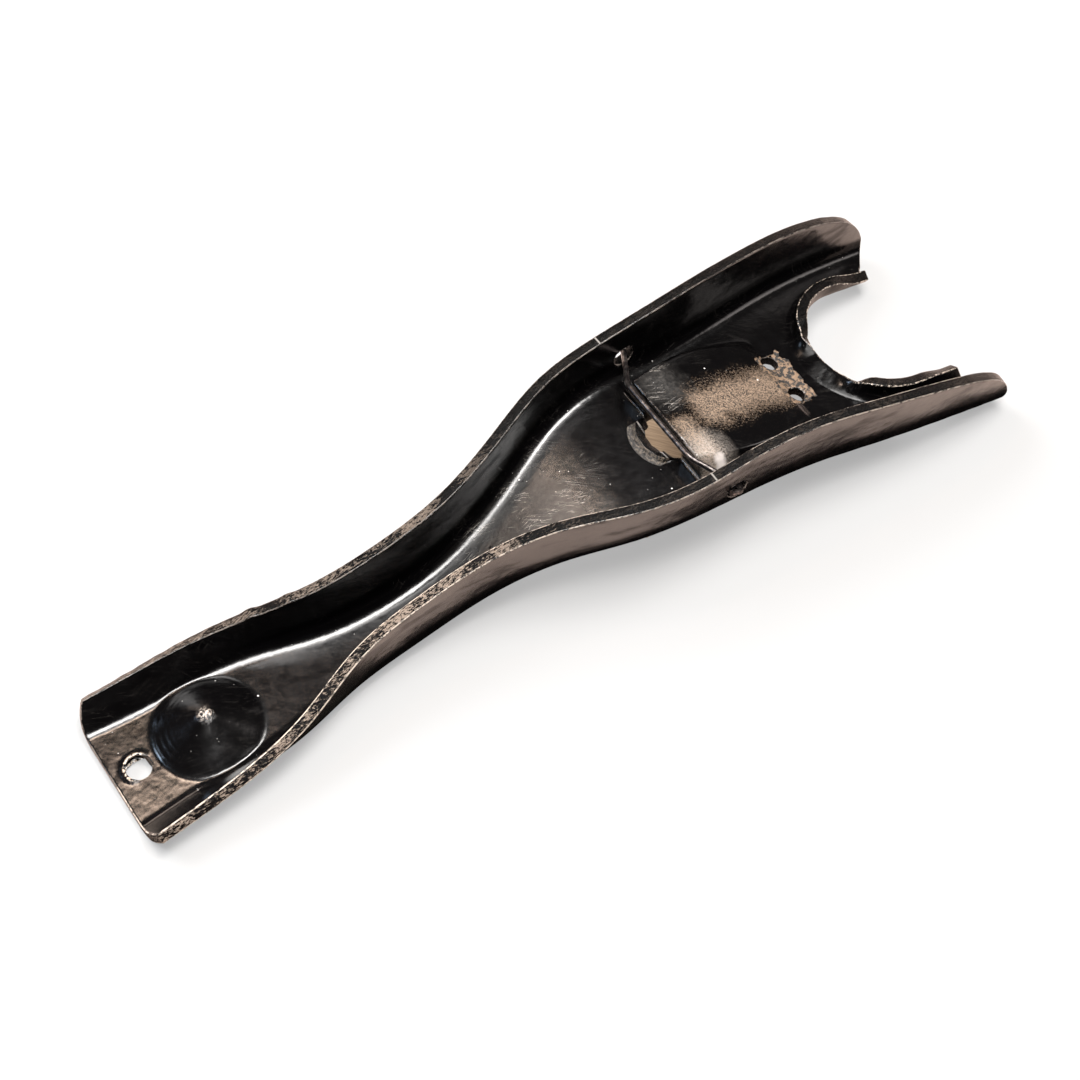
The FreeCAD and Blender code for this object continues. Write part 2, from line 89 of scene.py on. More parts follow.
LIP_EASE_FROM, LIP_EASE, LIP_EASE_SHARE = 276.0, 14.0, 0.3
NOSE_HEIGHTS = np.array([2.0, 5.5, 9.0, 12.5, 15.5, 18.5, 21.0, 23.0, 24.6, 25.8])
NOSE_ENDS = np.array([300.0, 300.0, 299.5, 298.4, 296.8, 294.6, 292.0, 289.3, 286.0, 282.0])
ROUND_EDGE = 0.32
RIM_WAVE = 0.025
RIM_BUMPS = ((57.0, 0.55), (68.0, 0.45))
RIM_BUMP_HALF = 3.0

# the grid of the upper face: rows along the lever, girth fractions from rim to rim
HALF_COLUMNS = 52
GIRTH = np.arange(-HALF_COLUMNS, HALF_COLUMNS + 1) / HALF_COLUMNS
ROWS_TO_MOUTH = np.linspace(0, MOUTH, 215)
ROWS_FROM_MOUTH = np.linspace(MOUTH, LENGTH, 121)
START_REACH, END_FROM = 22.0, 262.0
FRONT_ROWS = 6
MERGE_STEPS = 40
SLIVER = 0.01
FAR, TINY = 1e3, 1e-6
ON_EDGE, SAME_HEIGHT = 0.02, 0.6


def along(place):
    """Place along the lever in millimetres as an x in metres, counted from the middle."""
    return (place - LENGTH / 2) * MM


# ---------------------------------------------------------------- section of the folded sheet
def spline(x, xs, ys):
    """Natural cubic through (xs, ys): on each span a(x1-x)^3 + b(x-x0)^3 + c(x1-x) + d(x-x0)."""
    n = len(xs)
    h = np.diff(xs)
    a = np.eye(n)
    r = np.zeros(n)
    for i in range(1, n - 1):
        a[i, i - 1], a[i, i], a[i, i + 1] = h[i - 1], 2 * (h[i - 1] + h[i]), h[i]
        r[i] = 6 * ((ys[i + 1] - ys[i]) / h[i] - (ys[i] - ys[i - 1]) / h[i - 1])
    m = np.linalg.solve(a, r)
    i = np.clip(np.searchsorted(xs, x) - 1, 0, n - 2)
    t0, t1 = xs[i + 1] - x, x - xs[i]
    return ((m[i] * t0 ** 3 + m[i + 1] * t1 ** 3) / (6 * h[i])
            + (ys[i] / h[i] - m[i] * h[i] / 6) * t0
            + (ys[i + 1] / h[i] - m[i + 1] * h[i] / 6) * t1)


def smooth(t):
    """Smooth step: 3 t^2 - 2 t^3 between 0 and 1."""
    t = np.clip(t, 0, 1)
    return t * t * (3 - 2 * t)


def section(s):
    """Half width, rim, underside, fold radius and lean in radians at place s."""
    half, rim, low, fold, lean = (spline(s, STATIONS[:, 0], STATIONS[:, k]) for k in range(1, 6))
    return half, rim, np.maximum(low, LOWEST), fold, np.radians(lean)


def cross(s, f):
    """Upper face of the folded sheet: (y, z) at place s and fraction f of the half girth.

    Floor y = w up to the fold; fold (flat + r sin a, low + fold - r cos a) with a = arc / r;
    then a straight wall at the lean up to the rim. Also the girth w and the share t of the wall.
    """
    half, rim, low, fold, lean = section(s)
    inner = fold - SHEET
    out = (rim - low - fold * (1 - np.sin(lean))) * np.tan(lean)
    flat = half - fold * np.cos(lean) - out
    turn = math.pi / 2 - lean
    foot_y = flat + inner * np.cos(lean)
    foot_z = low + fold - inner * np.sin(lean)
    top_y = half - SHEET * np.cos(lean)
    top_z = rim + SHEET * np.sin(lean)
    wall = np.hypot(top_y - foot_y, top_z - foot_z)
    w = np.abs(f) * (flat + inner * turn + wall)
    a = np.clip((w - flat) / inner, 0, turn)
    t = np.clip((w - flat - inner * turn) / wall, 0, 1)
    y = np.where(w <= flat, w, np.where(t <= 0, flat + inner * np.sin(a), foot_y + t * (top_y - foot_y)))
    z = np.where(w <= flat, low + SHEET,
                 np.where(t <= 0, low + fold - inner * np.cos(a), foot_z + t * (top_z - foot_z)))
    return np.sign(f) * y, z, w * np.sign(f), t


def wall_y(s, y, z):
    """y of the upper face at height z on the wall that y lies on: rim place less the lean."""
    half, rim, _low, _fold, lean = section(s)
    top_y = half - SHEET * np.cos(lean)
    top_z = rim + SHEET * np.sin(lean)
    return np.sign(y) * (top_y - (top_z - z) * np.tan(lean))


# ---------------------------------------------------------------- ends of the sheet
def plan_end(y):
    """Where the slanting end of a tine cuts the sheet, in plan: a straight line over |y|."""
    return TINE_POINT + (np.abs(y) - FORK_R) * (LENGTH - TINE_POINT) / (TINE_HALF - FORK_R)


def nose_end(z):
    """Where the rounded nose cuts a wall of given height, in the side view."""
    return np.interp(z, NOSE_HEIGHTS, NOSE_ENDS)


def corner_start(y):
    """Outer corners, round in plan: r - sqrt(r^2 - over^2); the far one is the rounder."""
    r = np.where(y > 0, FAR_CORNER, NEAR_CORNER)
    over = np.clip(np.abs(y) - (CORNER_HALF - r), 0, r)
    return r - np.sqrt(r * r - over ** 2)


def grid(rows):
    """Places over rows and girth fractions, with the ends drawn in to the trimmed outline.

    Each girth line's first and last place come from the corners and the tine ends, half way
    nearer in each round; the rows within reach of an end are moved by their share of that.
    """
    s0 = np.repeat(rows[:, None], len(GIRTH), axis=1)
    f = np.repeat(GIRTH[None, :], len(rows), axis=0)
    first = np.zeros(len(GIRTH))
    last = np.full(len(GIRTH), LENGTH)
    for _ in range(30):
        y, _z, _w, _t = cross(first, GIRTH)
        first = 0.5 * first + 0.5 * corner_start(y)
        y, z, _w, _t = cross(last, GIRTH)
        last = 0.5 * last + 0.5 * np.minimum(np.clip(plan_end(y), TINE_POINT, LENGTH), nose_end(z))
    s = s0 + first[None, :] * np.clip(1 - s0 / START_REACH, 0, 1)
    s = s - (LENGTH - last)[None, :] * np.clip((s0 - END_FROM) / (LENGTH - END_FROM), 0, 1)
    y, z, w, t = cross(s, f)
    return s, y, z, w, t


def burr(s, phase):
    """Unevenness of a sheared rim: wave sin(0.9 s) sin(0.23 s), and low bumps on one side."""
    coarse = RIM_WAVE * np.sin(s * 0.9 + phase) * np.sin(s * 0.23 + 2 * phase)
    bumps = sum(height * smooth(1 - np.abs(s - place) / RIM_BUMP_HALF) for place, height in RIM_BUMPS)
    return coarse + bumps * (phase > 0)


# ---------------------------------------------------------------- raised features
def cone_height(s, y):
    """Height of the cone's round-tipped side over its base: rise (1 - d / base), tip rounded."""
    slope = math.atan(CONE["rise"] / CONE["base"])
    d = np.hypot(s - CONE["place"], y)
    straight = CONE["rise"] * (1 - d / CONE["base"])
    tip = CONE["tip"]
    ball = CONE["rise"] - tip / math.cos(slope) + np.sqrt(np.maximum(tip ** 2 - d ** 2, 0))
    return np.where(d < tip * math.sin(slope), ball, straight)


def with_cone(s, y, z, t):
    """The higher of sheet and cone, blended over k: z + (cone - z) m + k m (1 - m)."""
    low = section(s)[2]
    cone = low * 0 + CONE["step"] + SHEET + cone_height(s, y)
    near = np.hypot(s - CONE["place"], y) < CONE["base"] + CONE["skirt"]
    k = CONE["blend"]
    mix = np.clip(0.5 + 0.5 * (cone - z) / k, 0, 1)
    return np.where(near & (t <= 0.9), z + (cone - z) * mix + k * mix * (1 - mix), z)


def with_ridge(s, y, z):
    """A low ridge about the far side of the return hole: height smooth(1 - |d - r| / half)."""
    d = np.hypot(s - RETURN_HOLE, y)
    side = smooth(0.5 + 0.6 * ((y - (s - RETURN_HOLE)) / np.maximum(d, 0.1)))
    return z + RIDGE["height"] * side * smooth(1 - np.abs(d - RIDGE["radius"]) / RIDGE["half"])


def with_seat(s, y, z, t):
    """The raised seat: a top that falls along the lever, with flanks and an end that ease down."""
    place = np.clip(s, MOUTH, SEAT_PLACES[-1])
    top = spline(place, SEAT_PLACES, SEAT_TOPS)
    flank = SEAT_FLANK["at_mouth"] - SEAT_FLANK["loss"] * np.clip((s - MOUTH) / SEAT_FLANK["over"], 0, 1)
    half = spline(place, SEAT_PLACES, SEAT_HALVES)
    side = smooth(1 - (np.abs(y) - half + SEAT_FLANK["inset"]) / flank)
    end = smooth((SEAT_FADE_END - s) / SEAT_FADE)
    return np.where(t <= 0, z + np.maximum(top - z, 0) * side * end, z)


def lift(s, y, z, t, seat):
    """Adds the raised features to the channel."""
    z = with_ridge(s, y, with_cone(s, y, z, t))
    return with_seat(s, y, z, t) if seat else z


# ---------------------------------------------------------------- cut-outs
def cut_distance(s, y, t):
    """Distance to the nearest cut-out in the floor, under 0 inside it, and its nearest edge point.

    Round holes: d - r. Fork mouth: a half circle, then straight on to the tine ends; it is set
    back so that the lip can be turned up from its edge.
    """
    best = np.full(s.shape, FAR)
    edge_s, edge_y = s.copy(), y.copy()

    def take(distance, at_s, at_y, where):
        nonlocal best
        nearer = (distance < best) & where
        best = np.where(nearer, distance, best)
        edge_s[nearer] = at_s[nearer]
        edge_y[nearer] = at_y[nearer]

    for hole_s, hole_y, r in ((RETURN_HOLE, 0.0, RETURN_R), (RIVET_PLACE, RIVET_ACROSS, RIVET_R),
                              (RIVET_PLACE, -RIVET_ACROSS, RIVET_R)):
        d = np.hypot(s - hole_s, y - hole_y)
        k = r / np.maximum(d, TINY)
        take(d - r, hole_s + (s - hole_s) * k, hole_y + (y - hole_y) * k, t <= 0)
    r = FORK_R + LIP_BACK
    d = np.hypot(s - FORK_CENTRE, y)
    k = r / np.maximum(d, TINY)
    round_part = s <= FORK_CENTRE
    take(np.where(round_part, d - r, np.abs(y) - r),
         np.where(round_part, FORK_CENTRE + (s - FORK_CENTRE) * k, s),
         np.where(round_part, y * k, np.sign(y + 1e-9) * r),
         (s > FORK_FROM) & (np.abs(y) < r + LIP_ZONE))
    return best, edge_s, edge_y


def wall_hole_distance(s, z, t):
    """Distance to the round hole in a wall, seen from the side, and its nearest edge point."""
    d = np.hypot(s - WALL_HOLE, z - WALL_HOLE_Z)
    k = WALL_HOLE_R / np.maximum(d, TINY)
    return (np.where(t > 0, d - WALL_HOLE_R, FAR),
            WALL_HOLE + (s - WALL_HOLE) * k, WALL_HOLE_Z + (z - WALL_HOLE_Z) * k)


def opening_distance(s, y):
    """Outline of the opening before the seat: start + bow (|y| / half)^2.2, sides that flare."""
    outer = OPEN_START + OPEN_BOW * (np.abs(y) / OPEN_BOW_HALF) ** BOW_POWER + 0.12 * np.sin(y * 1.3)
    half = OPEN_HALF + OPEN_FLARE * (s - OPEN_START) / (MOUTH - OPEN_START)
    return np.maximum(outer - s, np.abs(y) - half), outer, half


# ---------------------------------------------------------------- the sheet: points, flat places, faces
verts, uvs, faces = [], [], []


def add_piece(rows, seat):
    """Lays one stretch of the sheet, leaves out what the cut-outs take and snaps the rest to them."""
    s, y, z, w, t = grid(rows)
    z = lift(s, y, z, t, seat)
    z[:, 0] += burr(s[:, 0], 0.0)
    z[:, -1] += burr(s[:, -1], 5.0)
    distance, cut_s, cut_y = cut_distance(s, y, t)
    wall_distance, hole_s, hole_z = wall_hole_distance(s, z, t)
    in_cut = distance < 0
    in_wall = wall_distance < 0
    in_opening = np.zeros_like(in_cut)
    if not seat:
        open_distance, outer, half = opening_distance(s, y)
        in_opening = (open_distance < 0) & (t <= 0)
    gone = in_cut | in_wall | in_opening
    keep = gone[:-1, :-1].astype(int) + gone[1:, :-1] + gone[:-1, 1:] + gone[1:, 1:] < 4
    touched = np.zeros_like(gone)
    n, m = s.shape
    for di in (0, 1):
        for dj in (0, 1):
            touched[di:n - 1 + di, dj:m - 1 + dj] |= keep
    snap = gone & touched
    s = np.where(snap & in_cut, cut_s, s)
    y = np.where(snap & in_cut, cut_y, y)
    on_wall = snap & in_wall
    s = np.where(on_wall, hole_s, s)
    z = np.where(on_wall, hole_z, z)
    y = np.where(on_wall, wall_y(s, y, z), y)
    if not seat:
        on_edge = snap & in_opening
        to_outer = on_edge & (outer - s > np.abs(y) - half)
        s = np.where(to_outer, outer, s)
        y = np.where(on_edge & ~to_outer, np.sign(y) * half, y)
    # what was snapped on the floor gets the floor's height there
    z_floor = lift(s, y, section(s)[2] + SHEET, t * 0, seat)
    z = np.where(snap & (in_cut | in_opening), z_floor, z)
    index = np.full((n, m), -1)
    index[touched] = len(verts) + np.arange(touched.sum())
    verts.extend(zip(s[touched].tolist(), y[touched].tolist(), z[touched].tolist()))
    uvs.extend(zip(s[touched].tolist(), w[touched].tolist()))
    quads = np.stack([index[:-1, :-1], index[1:, :-1], index[1:, 1:], index[:-1, 1:]], axis=-1)
    faces.extend(map(tuple, quads[keep].tolist()))
    return index


def join(last_row, first_row):
    """Joins the two stretches along the mouth line.

    Beside the seat their points are one. Under the seat's front edge a column of points goes
    straight up, which gives the seat's front face on both sides of the opening.
    """
    same, columns = {}, []
    for a, b in zip(last_row.tolist(), first_row.tolist()):
        column = None
        if a >= 0 and b >= 0:
            step = verts[b][2] - verts[a][2]
            if abs(step) < SAME_HEIGHT:
                same[b] = a
                column = [a] * (FRONT_ROWS + 1)
            elif abs(verts[a][1]) > FRONT_FROM:
                s, y, z = verts[a]
                column = [a]
                for k in range(1, FRONT_ROWS):
                    column.append(len(verts))
                    verts.append((s, y, z + step * k / FRONT_ROWS))
                    uvs.append((s, uvs[a][1] + step * k / FRONT_ROWS))
                column.append(b)
        columns.append(column)
    for left, right in zip(columns, columns[1:]):
        if left and right:
            for k in range(FRONT_ROWS):
                faces.append((left[k], left[k + 1], right[k + 1], right[k]))
    faces[:] = [tuple(same.get(i, i) for i in face) for face in faces]


# ---------------------------------------------------------------- edges that are turned up
def free_chains():
    """Closed chains of vertices along the free edges."""
    seen = {}
    for face in faces:
        for a, b in zip(face, face[1:] + face[:1]):
            if a != b:
                seen.setdefault((min(a, b), max(a, b)), []).append((a, b))
    free = dict(uses[0] for uses in seen.values() if len(uses) == 1)
    chains = []
    while free:
        a = next(iter(free))
        chain = [a]
        while a in free:
            a = free.pop(a)
            chain.append(a)
        chains.append(chain)
    return chains


def edge_path(wanted, least):
    """The stretch of a free edge whose vertices are wanted, in order, from its first to its last."""
    for chain in free_chains():
        ring = chain[:-1]
        for k in range(len(ring)):
            if wanted(ring[k]) and not wanted(ring[k - 1]):
                ring = ring[k:] + ring[:k]
                break
        path = [v for v in ring if wanted(v)]
        if len(path) >= least:
            return path
    return []


def turn_up(path, normal, bend, angle, length, rows_bend, rows_wall):
    """Carries an edge on: an arc of given radius through the angle, then straight.

    Row point = edge + n (r sin a + l cos a) + z (r (1 - cos a) + l sin a).
    """
    rows = [list(path)]
    for k in range(1, rows_bend + rows_wall + 1):
        row = []
        for i, v in enumerate(path):
            s, y, z = verts[v]
            a = angle[i] * min(k / rows_bend, 1)
            run = length[i] * max(k - rows_bend, 0) / rows_wall
            ahead = bend * math.sin(a) + run * math.cos(a)
            rise = bend * (1 - math.cos(a)) + run * math.sin(a)
            ns, ny = normal[i]
            row.append(len(verts))
            verts.append((s + ns * ahead, y + ny * ahead, z + rise))
            uvs.append((uvs[v][0] + ns * (ahead + rise), uvs[v][1] + ny * (ahead + rise)))
        rows.append(row)
    for lower, upper in zip(rows, rows[1:]):
        for i in range(len(path) - 1):
            faces.append((lower[i + 1], lower[i], upper[i], upper[i + 1]))
    return rows


def on_mouth(v):
    """True for a vertex on the set-back outline of the fork mouth."""
    s, y, _z = verts[v]
    away = math.hypot(s - FORK_CENTRE, y) if s <= FORK_CENTRE else abs(y)
    return s > FORK_FROM and abs(away - FORK_R - LIP_BACK) < ON_EDGE


def turn_up_mouth():
    """The lip of the fork mouth: 85 degrees along the sides, nearly flat at the middle."""
    path = edge_path(on_mouth, 21)
    normal, angle, length = [], [], []
    for v in path:
        s, y, _z = verts[v]
        if s <= FORK_CENTRE:
            d = math.hypot(s - FORK_CENTRE, y)
            normal.append(((FORK_CENTRE - s) / d, -y / d))
            theta = math.degrees(math.atan2(y, FORK_CENTRE - s))
        else:
            normal.append((0.0, -math.copysign(1, y)))
            theta = math.copysign(90, y)
        # the lip fades out at the middle, more to the near side
        share = float(smooth(abs(theta - LIP_TURN["low_at"]) / LIP_TURN["fade"] - LIP_TURN["delay"]))
        share *= 1 - LIP_EASE_SHARE * float(smooth((s - LIP_EASE_FROM) / LIP_EASE))
        angle.append(math.radians(LIP_TURN["least"] + LIP_TURN["more"] * share))
        length.append(float(np.interp(share, LIP_SHARES, LIP_LENGTHS)))
    for row in turn_up(path, normal, LIP_BEND, angle, length, 5, 4)[1:]:
        for v in row:
            s, y, z = verts[v]
            if s > FORK_CENTRE:
                # the lip ends a little before the tine does
                over = (FORK_R + LIP_BACK - abs(y)) / LIP_BACK
                straight = TINE_POINT - FORK_CENTRE
                limit = (straight + TINE_LIP_TOP) / (straight + TINE_LIP_ROOT)
                verts[v] = (FORK_CENTRE + (s - FORK_CENTRE) * (1 + (limit - 1) * over), y, z)


def on_opening(v):
    """True for a vertex on the bowed and side edges of the opening before the seat."""
    s, y, _z = verts[v]
    return OPEN_START - 2 < s < MOUTH - 0.3 and abs(y) < 11


def turn_up_opening():
    """The lip of the opening: 56 degrees at the outer side, fading out towards the seat."""
    path = edge_path(on_opening, 12)
    normal, angle, length = [], [], []
    for v in path:
        s, y, _z = verts[v]
        side = float(smooth((MOUTH - OPEN_LIP["end"] - s) / OPEN_LIP["fade"]))
        normal.append((1.0, -OPEN_LIP["skew"] * y / OPEN_BOW_HALF))
        angle.append(math.radians(OPEN_LIP["least"] + OPEN_LIP["more"] * side))
        length.append(OPEN_LIP["short"] + OPEN_LIP["longer"] * side)
    turn_up(path, normal, OPEN_LIP["bend"], angle, length, 3, 2)


# ---------------------------------------------------------------- the mesh of the pressing
def cleaned():
    """Points, flat places and faces with doubles merged and slivers left out."""
    spots, same = {}, {}
    for i in sorted({i for face in faces for i in face}):
        key = tuple(round(c * MERGE_STEPS) for c in verts[i])
        same[i] = spots.setdefault(key, i)
    kept = []
    for face in faces:
        corners = list(dict.fromkeys(same[i] for i in face))
        if len(corners) < 3:
            continue
        at = np.array([verts[i] for i in corners])
        area = sum(np.cross(at[k] - at[0], at[k + 1] - at[0]) for k in range(1, len(corners) - 1))
        if np.linalg.norm(area) > SLIVER:
            kept.append(corners)
    used = sorted({i for corners in kept for i in corners})
    order = {v: k for k, v in enumerate(used)}
    return (np.array([verts[v] for v in used]), np.array([uvs[v] for v in used]),
            [[order[i] for i in corners] for corners in kept])


def mark_sheared_edges(mesh, points):
    """Free edges take the rounding, all but those about the opening, which its lip rounds."""
    loop_edges = np.empty(len(mesh.loops), dtype=np.int32)
    mesh.loops.foreach_get("edge_index", loop_edges)
    ends = np.empty(len(mesh.edges) * 2, dtype=np.int32)
    mesh.edges.foreach_get("vertices", ends)
    middle = points[ends].reshape(-1, 2, 3).mean(axis=1)
    sheared = np.bincount(loop_edges, minlength=len(mesh.edges)) == 1
    sheared &= ~((np.abs(middle[:, 0] - OPEN_ZONE["place"]) < OPEN_ZONE["reach"])
                 & (np.abs(middle[:, 1]) < OPEN_ZONE["half"]))
    weight = mesh.attributes.new("bevel_weight_edge", "FLOAT", "EDGE")
    weight.data.foreach_set("value", sheared.astype(np.float32))


def fork_sheet():
    """The upper face as one object, given its thickness downwards and its edges rounded."""
    index_a = add_piece(ROWS_TO_MOUTH, False)
    index_b = add_piece(ROWS_FROM_MOUTH, True)
    join(index_a[-1], index_b[0])
    turn_up_mouth()
    turn_up_opening()
    points, flat, corners = cleaned()
    mesh = bpy.data.meshes.new("fork_sheet")
    mesh.from_pydata(((points - (LENGTH / 2, 0, 0)) * MM).tolist(), [], corners)
    loop_verts = np.empty(len(mesh.loops), dtype=np.int32)
    mesh.loops.foreach_get("vertex_index", loop_verts)
    mesh.uv_layers.new(name="sheet").data.foreach_set("uv", (flat[loop_verts] * MM).ravel())
    _half, rim, low, _fold, _lean = section(points[:, 0])
    rise = mesh.attributes.new("rise", "FLOAT", "POINT")
    rise.data.foreach_set("value", np.clip((points[:, 2] - low) / (rim - low), 0, 1.2).astype(np.float32))
    mesh.validate()
    mesh.update()
    for poly in mesh.polygons:
        poly.use_smooth = True
    mark_sheared_edges(mesh, points)
    for finish in (fork_paint(), fork_edge(), fork_corner()):
        mesh.materials.append(finish)
    fork = bpy.data.objects.new("fork_sheet", mesh)
    scene.collection.objects.link(fork)
    faces_up = sum(p.normal.z for p in mesh.polygons) > 0
    solid = fork.modifiers.new("Solid", "SOLIDIFY")
    solid.thickness = SHEET * MM
    solid.offset = -1.0 if faces_up else 1.0
    solid.use_even_offset = True
    solid.use_quality_normals = True
    solid.material_offset_rim = 1
    bevel = fork.modifiers.new("Bevel", "BEVEL")
    bevel.width = ROUND_EDGE * MM
    bevel.segments = 2
    bevel.limit_method = "WEIGHT"
    bevel.use_clamp_overlap = False
    bevel.material = 2
    return fork


# ---------------------------------------------------------------- shader nodes in short
class Tree:
    """Short ways to add and join shader nodes."""

    def __init__(self, tree):
        self.tree = tree

    def add(self, kind, **props):
        node = self.tree.nodes.new(kind)
        for key, value in props.items():
            setattr(node, key, value)
        return node

    def put(self, socket, value):
        """Joins a socket to another one, or sets its constant."""
        if isinstance(value, bpy.types.NodeSocket):
            self.tree.links.new(value, socket)
        else:
            socket.default_value = value

    def math(self, op, a, b=0.0, clamp=False):
        node = self.add("ShaderNodeMath", operation=op, use_clamp=clamp)
        self.put(node.inputs[0], a)
        self.put(node.inputs[1], b)
        return node.outputs[0]

    def chain(self, op, values):
        total = values[0]
        for value in values[1:]:
            total = self.math(op, total, value)
        return total

    def times(self, *values):
        return self.chain("MULTIPLY", values)

    def plus(self, *values):
        return self.chain("ADD", values)

    def most(self, *values):
        return self.chain("MAXIMUM", values)

    def minus(self, a, b):
        return self.math("SUBTRACT", a, b)

    def size(self, a):
        return self.math("ABSOLUTE", a)

    def split(self, vector):
        """The three parts of a vector."""
        node = self.add("ShaderNodeSeparateXYZ")
        self.put(node.inputs[0], vector)
        return node.outputs

    def length(self, vector):
        node = self.add("ShaderNodeVectorMath", operation="LENGTH")
        self.put(node.inputs[0], vector)
        return node.outputs["Value"]

    def radius(self, x, y):
        """Distance of (x, y) from the origin."""
        flat = self.add("ShaderNodeCombineXYZ")
        self.put(flat.inputs[0], x)
        self.put(flat.inputs[1], y)
        return self.length(flat.outputs[0])

    def ramp(self, value, low, high, to_low=0.0, to_high=1.0):
        """Smooth step of a value between two limits."""
        node = self.add("ShaderNodeMapRange", interpolation_type="SMOOTHSTEP")
        for key, v in (("Value", value), ("From Min", low), ("From Max", high),
                       ("To Min", to_low), ("To Max", to_high)):
            self.put(node.inputs[key], v)
        return node.outputs[0]

    def fade(self, value, low, high, to_high=0.0):
        """Smooth step down, from 1 to 0 unless told otherwise."""
        return self.ramp(value, low, high, 1.0, to_high)

    def noise(self, vector, scale, detail=2.0, rough=0.5):
        node = self.add("ShaderNodeTexNoise")
        for key, value in (("Vector", vector), ("Scale", scale), ("Detail", detail), ("Roughness", rough)):
            self.put(node.inputs[key], value)
        return node.outputs["Fac"]

    def turned(self, vector, angle, scale):
        """The vector turned about Z and then stretched."""
        turn = self.add("ShaderNodeMapping", vector_type="POINT")
        self.put(turn.inputs["Vector"], vector)
        turn.inputs["Rotation"].default_value = (0, 0, angle)
        stretch = self.add("ShaderNodeMapping", vector_type="POINT")
        self.put(stretch.inputs["Vector"], turn.outputs[0])
        stretch.inputs["Scale"].default_value = scale
        return stretch.outputs[0]

    def mix(self, factor, a, b):
        """Colour a where the factor is 0 and colour b where it is 1."""
        node = self.add("ShaderNodeMix", data_type="RGBA")
        for k, value in ((0, factor), (6, a), (7, b)):
            self.put(node.inputs[k], value)
        return node.outputs[2]

    def blend(self, factor, a, b):
        """Value a where the factor is 0 and value b where it is 1."""
        node = self.add("ShaderNodeMix", data_type="FLOAT")
        for k, value in ((0, factor), (2, a), (3, b)):
            self.put(node.inputs[k], value)
        return node.outputs[0]

    def bump(self, height, strength, distance, normal=None):
        node = self.add("ShaderNodeBump")
        self.put(node.inputs["Height"], height)
        self.put(node.inputs["Strength"], strength)
        node.inputs["Distance"].default_value = distance
        if normal is not None:
            self.put(node.inputs["Normal"], normal)
        return node.outputs[0]

    def use(self, tree, **values):
        """A shader group's mask, with the group's inputs given by name."""
        node = self.add("ShaderNodeGroup", node_tree=tree)
        for key, value in values.items():
            self.put(node.inputs[key.replace("_", " ")], value)
        return node.outputs["Mask"]

    def either(self, factor, a, b):
        """Shader a where the factor is 0 and shader b where it is 1."""
        node = self.add("ShaderNodeMixShader")
        for k, value in enumerate((factor, a, b)):
            self.put(node.inputs[k], value)
        return node.outputs[0]


def tone(red, green, blue):
    """A solid colour."""
    return (red, green, blue, 1.0)


def material(name):
    """A material with its tree, its shader and the place on the piece."""
    mat = bpy.data.materials.new(name)
    mat.use_nodes = True
    t = Tree(mat.node_tree)
    return mat, t, mat.node_tree.nodes["Principled BSDF"], t.add("ShaderNodeTexCoord").outputs["Object"]


# ---------------------------------------------------------------- shader groups
def group(name, inputs):
    """A new group with a position, named values and one mask going out."""
    tree = bpy.data.node_groups.new(name, "ShaderNodeTree")
    tree.interface.new_socket("Position", in_out="INPUT", socket_type="NodeSocketVector")
    for label, value in inputs.items():
        socket = tree.interface.new_socket(label, in_out="INPUT", socket_type="NodeSocketFloat")
        socket.default_value = value
    tree.interface.new_socket("Mask", in_out="OUTPUT", socket_type="NodeSocketFloat")
    t = Tree(tree)
    return tree, t, t.add("NodeGroupInput").outputs, t.add("NodeGroupOutput").inputs["Mask"]


def soft_box():
    """Mask of a soft, wandering box in plan: 1 - (distance to the box + wander) / edge."""
    tree, t, given, mask = group("soft_box", {
        "Place": 0.0, "Across": 0.0, "Half length": 0.01, "Half width": 0.01, "Edge": 0.002,
        "Wander": 0.0, "Grain": 400.0})
    x, y, _z = t.split(given["Position"])
    wander = t.times(t.minus(t.noise(given["Position"], given["Grain"], 3.0), 0.5), given["Wander"])
    over_x = t.minus(t.size(t.minus(x, given["Place"])), given["Half length"])
    over_y = t.minus(t.size(t.minus(y, given["Across"])), given["Half width"])
    out_x = t.most(over_x, 0.0)
    out_y = t.most(over_y, 0.0)
    away = t.math("SQRT", t.plus(t.times(out_x, out_x), t.times(out_y, out_y)))
    inner = t.math("MINIMUM", t.most(over_x, over_y), 0.0)
    total = t.plus(away, inner, wander)
    t.put(mask, t.math("SUBTRACT", 1.0, t.math("DIVIDE", total, given["Edge"]), clamp=True))
    return tree


def scratches():
    """Fine scratches in three directions: stretched noise cut to a thin band, in patches."""
    tree, t, given, mask = group("scratches", {"Amount": 0.5})
    lines = []
    for angle, scale in ((0.75, (90.0, 2400.0, 90.0)), (0.35, (60.0, 1700.0, 60.0)),
                         (-0.2, (110.0, 2000.0, 110.0))):
        streaks = t.noise(t.turned(given["Position"], angle, scale), 1.0, 1.0)
        band = t.fade(t.size(t.minus(streaks, 0.62)), 0.0, 0.015)
        patch = t.ramp(t.noise(given["Position"], 90.0 + 40 * abs(angle), 1.0), 0.49, 0.63)
        lines.append(t.times(band, patch))
    t.put(mask, t.times(t.most(*lines), given["Amount"]))
    return tree


def specks():
    """Small round specks of dust, in some of the cells only."""
    tree, t, given, mask = group("specks", {"Scale": 300.0, "Size": 0.12, "Share": 0.6})
    cells = t.add("ShaderNodeTexVoronoi", feature="F1")
    t.put(cells.inputs["Vector"], given["Position"])
    t.put(cells.inputs["Scale"], given["Scale"])
    lot = t.add("ShaderNodeSeparateColor")
    t.put(lot.inputs[0], cells.outputs["Color"])
    dot = t.fade(cells.outputs["Distance"], t.times(given["Size"], 0.4), given["Size"])
    t.put(mask, t.times(dot, t.math("GREATER_THAN", lot.outputs[0], given["Share"])))
    return tree


SOFT_BOX, SCRATCHES, SPECKS = soft_box(), scratches(), specks()
SEAT_FROM = 0.0416


